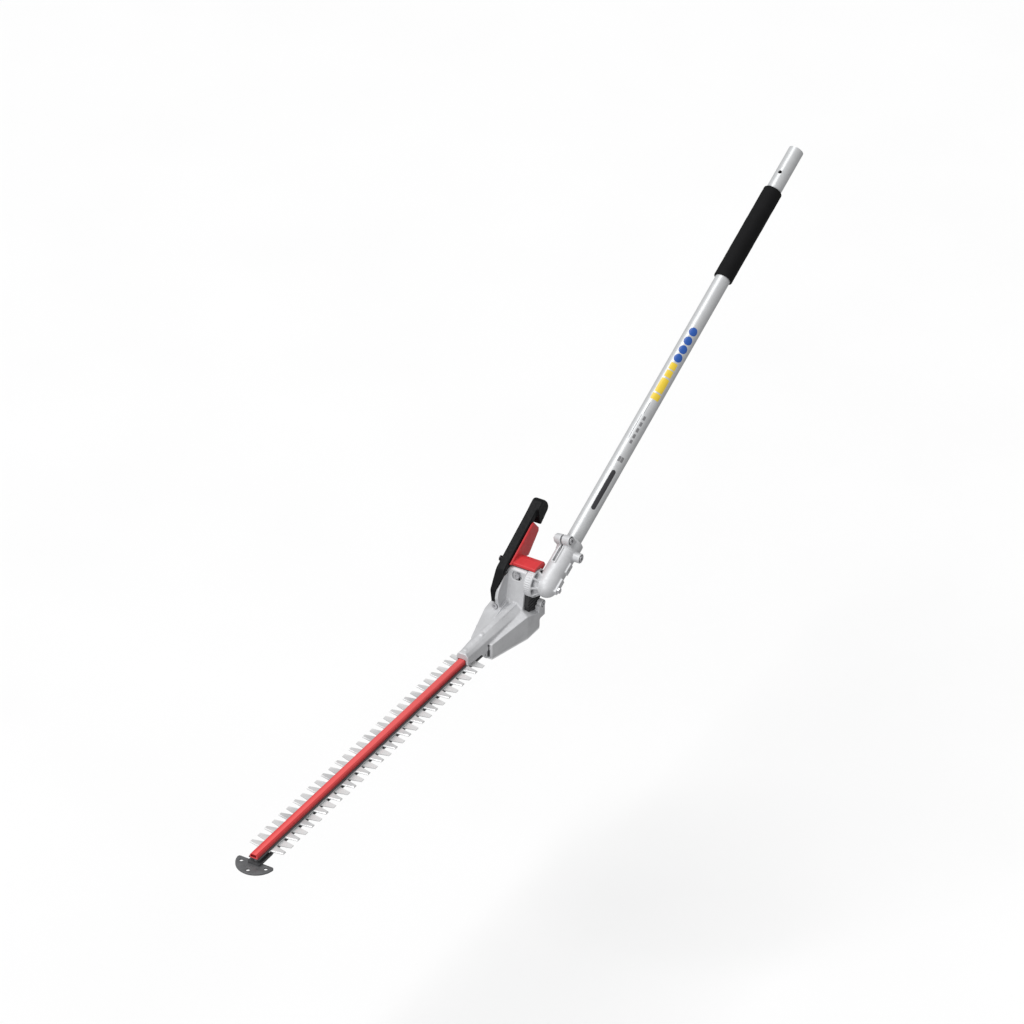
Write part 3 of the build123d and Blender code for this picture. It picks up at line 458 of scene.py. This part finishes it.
def film_patch(name, along, turn, length, width, finish, roundness=0.35):
    """A thin label film wrapped on the tube; roundness 0 is a rectangle and 1 an ellipse."""
    shape = bmesh.new()
    bmesh.ops.create_grid(shape, x_segments=FILM_CELLS, y_segments=FILM_CELLS, size=1.0)
    raised = bmesh.ops.extrude_face_region(shape, geom=shape.faces[:])
    for vert in [item for item in raised["geom"] if isinstance(item, bmesh.types.BMVert)]:
        vert.co.z = 1
    for vert in shape.verts:
        x, y, layer = vert.co
        keep_x = 1 - roundness + roundness * (1 - y * y / 2) ** 0.5
        keep_y = 1 - roundness + roundness * (1 - x * x / 2) ** 0.5
        angle = radians(turn) + y * keep_y * width / 2 / TUBE_RADIUS
        reach = TUBE_RADIUS + (FILM_PROUD if layer else -FILM_SUNK)
        vert.co = (along + x * keep_x * length / 2, reach * sin(angle), reach * cos(angle))
    bmesh.ops.recalc_face_normals(shape, faces=shape.faces)
    bmesh.ops.transform(shape, matrix=TUBE_FRAME, verts=shape.verts)
    return piece(name, shape, finish, "pole")


def tube_labels():
    """Plain coloured films where the real tube carries its stickers: no words and no pictures."""
    blue_dots = (467.5, 450.5, 434, 418)
    yellow_patches = ((402, 12, 11), (388, 12, 11), (366, 26, 13), (345, 11, 14))
    grey_bars = ((322, 22, -14), (305, 7, -34), (294, 7, -34), (283, 7, -34), (272, 7, -34),
                 (262, 6, -34), (288, 44, -4), (229, 9, -44), (229, 9, -22))
    for number, along in enumerate(blue_dots):
        film_patch(f"blue_dot_{number}", along * MM, -31, 14.5 * MM, 13.5 * MM, BLUE_FILM, 1.0)
    for number, (along, length, width) in enumerate(yellow_patches):
        film_patch(f"yellow_patch_{number}", along * MM, -28, length * MM, width * MM, YELLOW_FILM, 0.12)
    for number, (along, length, turn) in enumerate(grey_bars):
        width = 0.9 if length > 10 else 4.0
        film_patch(f"grey_bar_{number}", along * MM, turn, length * MM, width * MM, GREY_FILM, 0.2)
    film_patch("dark_stripe", 173 * MM, -34, 72 * MM, 7.5 * MM, DARK_FILM, 0.25)


# ---- floor, light and camera ----

def studio():
    shape = bmesh.new()
    bmesh.ops.create_grid(shape, x_segments=2, y_segments=2, size=FLOOR_HALF)
    bmesh.ops.translate(shape, verts=shape.verts, vec=(0, 0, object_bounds()[0][2] - FLOOR_DROP))
    mesh = bpy.data.meshes.new("floor")
    shape.to_mesh(mesh)
    shape.free()
    mesh.materials.append(studio_floor())
    floor = bpy.data.objects.new("floor", mesh)
    bpy.context.scene.collection.objects.link(floor)
    floor.visible_diffuse = False
    floor.visible_glossy = False
    floor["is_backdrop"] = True
    world = bpy.data.worlds.new("studio")
    world.use_nodes = True
    world.node_tree.nodes["Background"].inputs["Color"].default_value = (1, 1, 1, 1)
    world.node_tree.nodes["Background"].inputs["Strength"].default_value = SKY_STRENGTH
    bpy.context.scene.world = world
    for name, towards, spread, power in LAMPS:
        light = bpy.data.lights.new(name, "SUN")
        light.angle = radians(spread)
        light.energy = power
        lamp = bpy.data.objects.new(name, light)
        lamp.rotation_euler = (-towards).to_track_quat("-Z", "Y").to_euler()
        bpy.context.scene.collection.objects.link(lamp)


def camera():
    view = bpy.data.cameras.new("camera")
    view.sensor_width = 36
    view.lens = 185.07
    view.clip_end = 200
    thing = bpy.data.objects.new("camera", view)
    right = Vector((-0.519, 0.855, 0.0))
    up = Vector((-0.472, -0.287, 0.833))
    back = Vector((0.712, 0.433, 0.553))
    pose = Matrix((right, up, back)).transposed().to_4x4()
    pose.translation = Vector((6.1734, 3.2483, 3.9596))
    thing.matrix_world = pose.normalized()
    bpy.context.scene.collection.objects.link(thing)
    bpy.context.scene.camera = thing


dress_nodes()
soft_casting("head_casting", "head_case", CAST, "head", 0.9 * MM, 3)
soft_casting("elbow_casting", "elbow_case", CAST_TILTED, "pole", 0.65 * MM, 3, TUBE_FRAME)
soft_casting("grip_body", "hand_grip", GRIP, "head", 0.7 * MM, 5)
soft_casting("lever_body", "lock_lever", LEVER, "lock_lever", 0.6 * MM, 3)
eased("rail_body", "blade_rail", RAIL, "head", 0.35 * MM)
eased("guard_plate", "tip_guard", GUARD, "head", 0.3 * MM)
foam_sleeve()
tube_labels()
studio()
camera()
bpy.context.scene.view_settings.view_transform = "Standard"
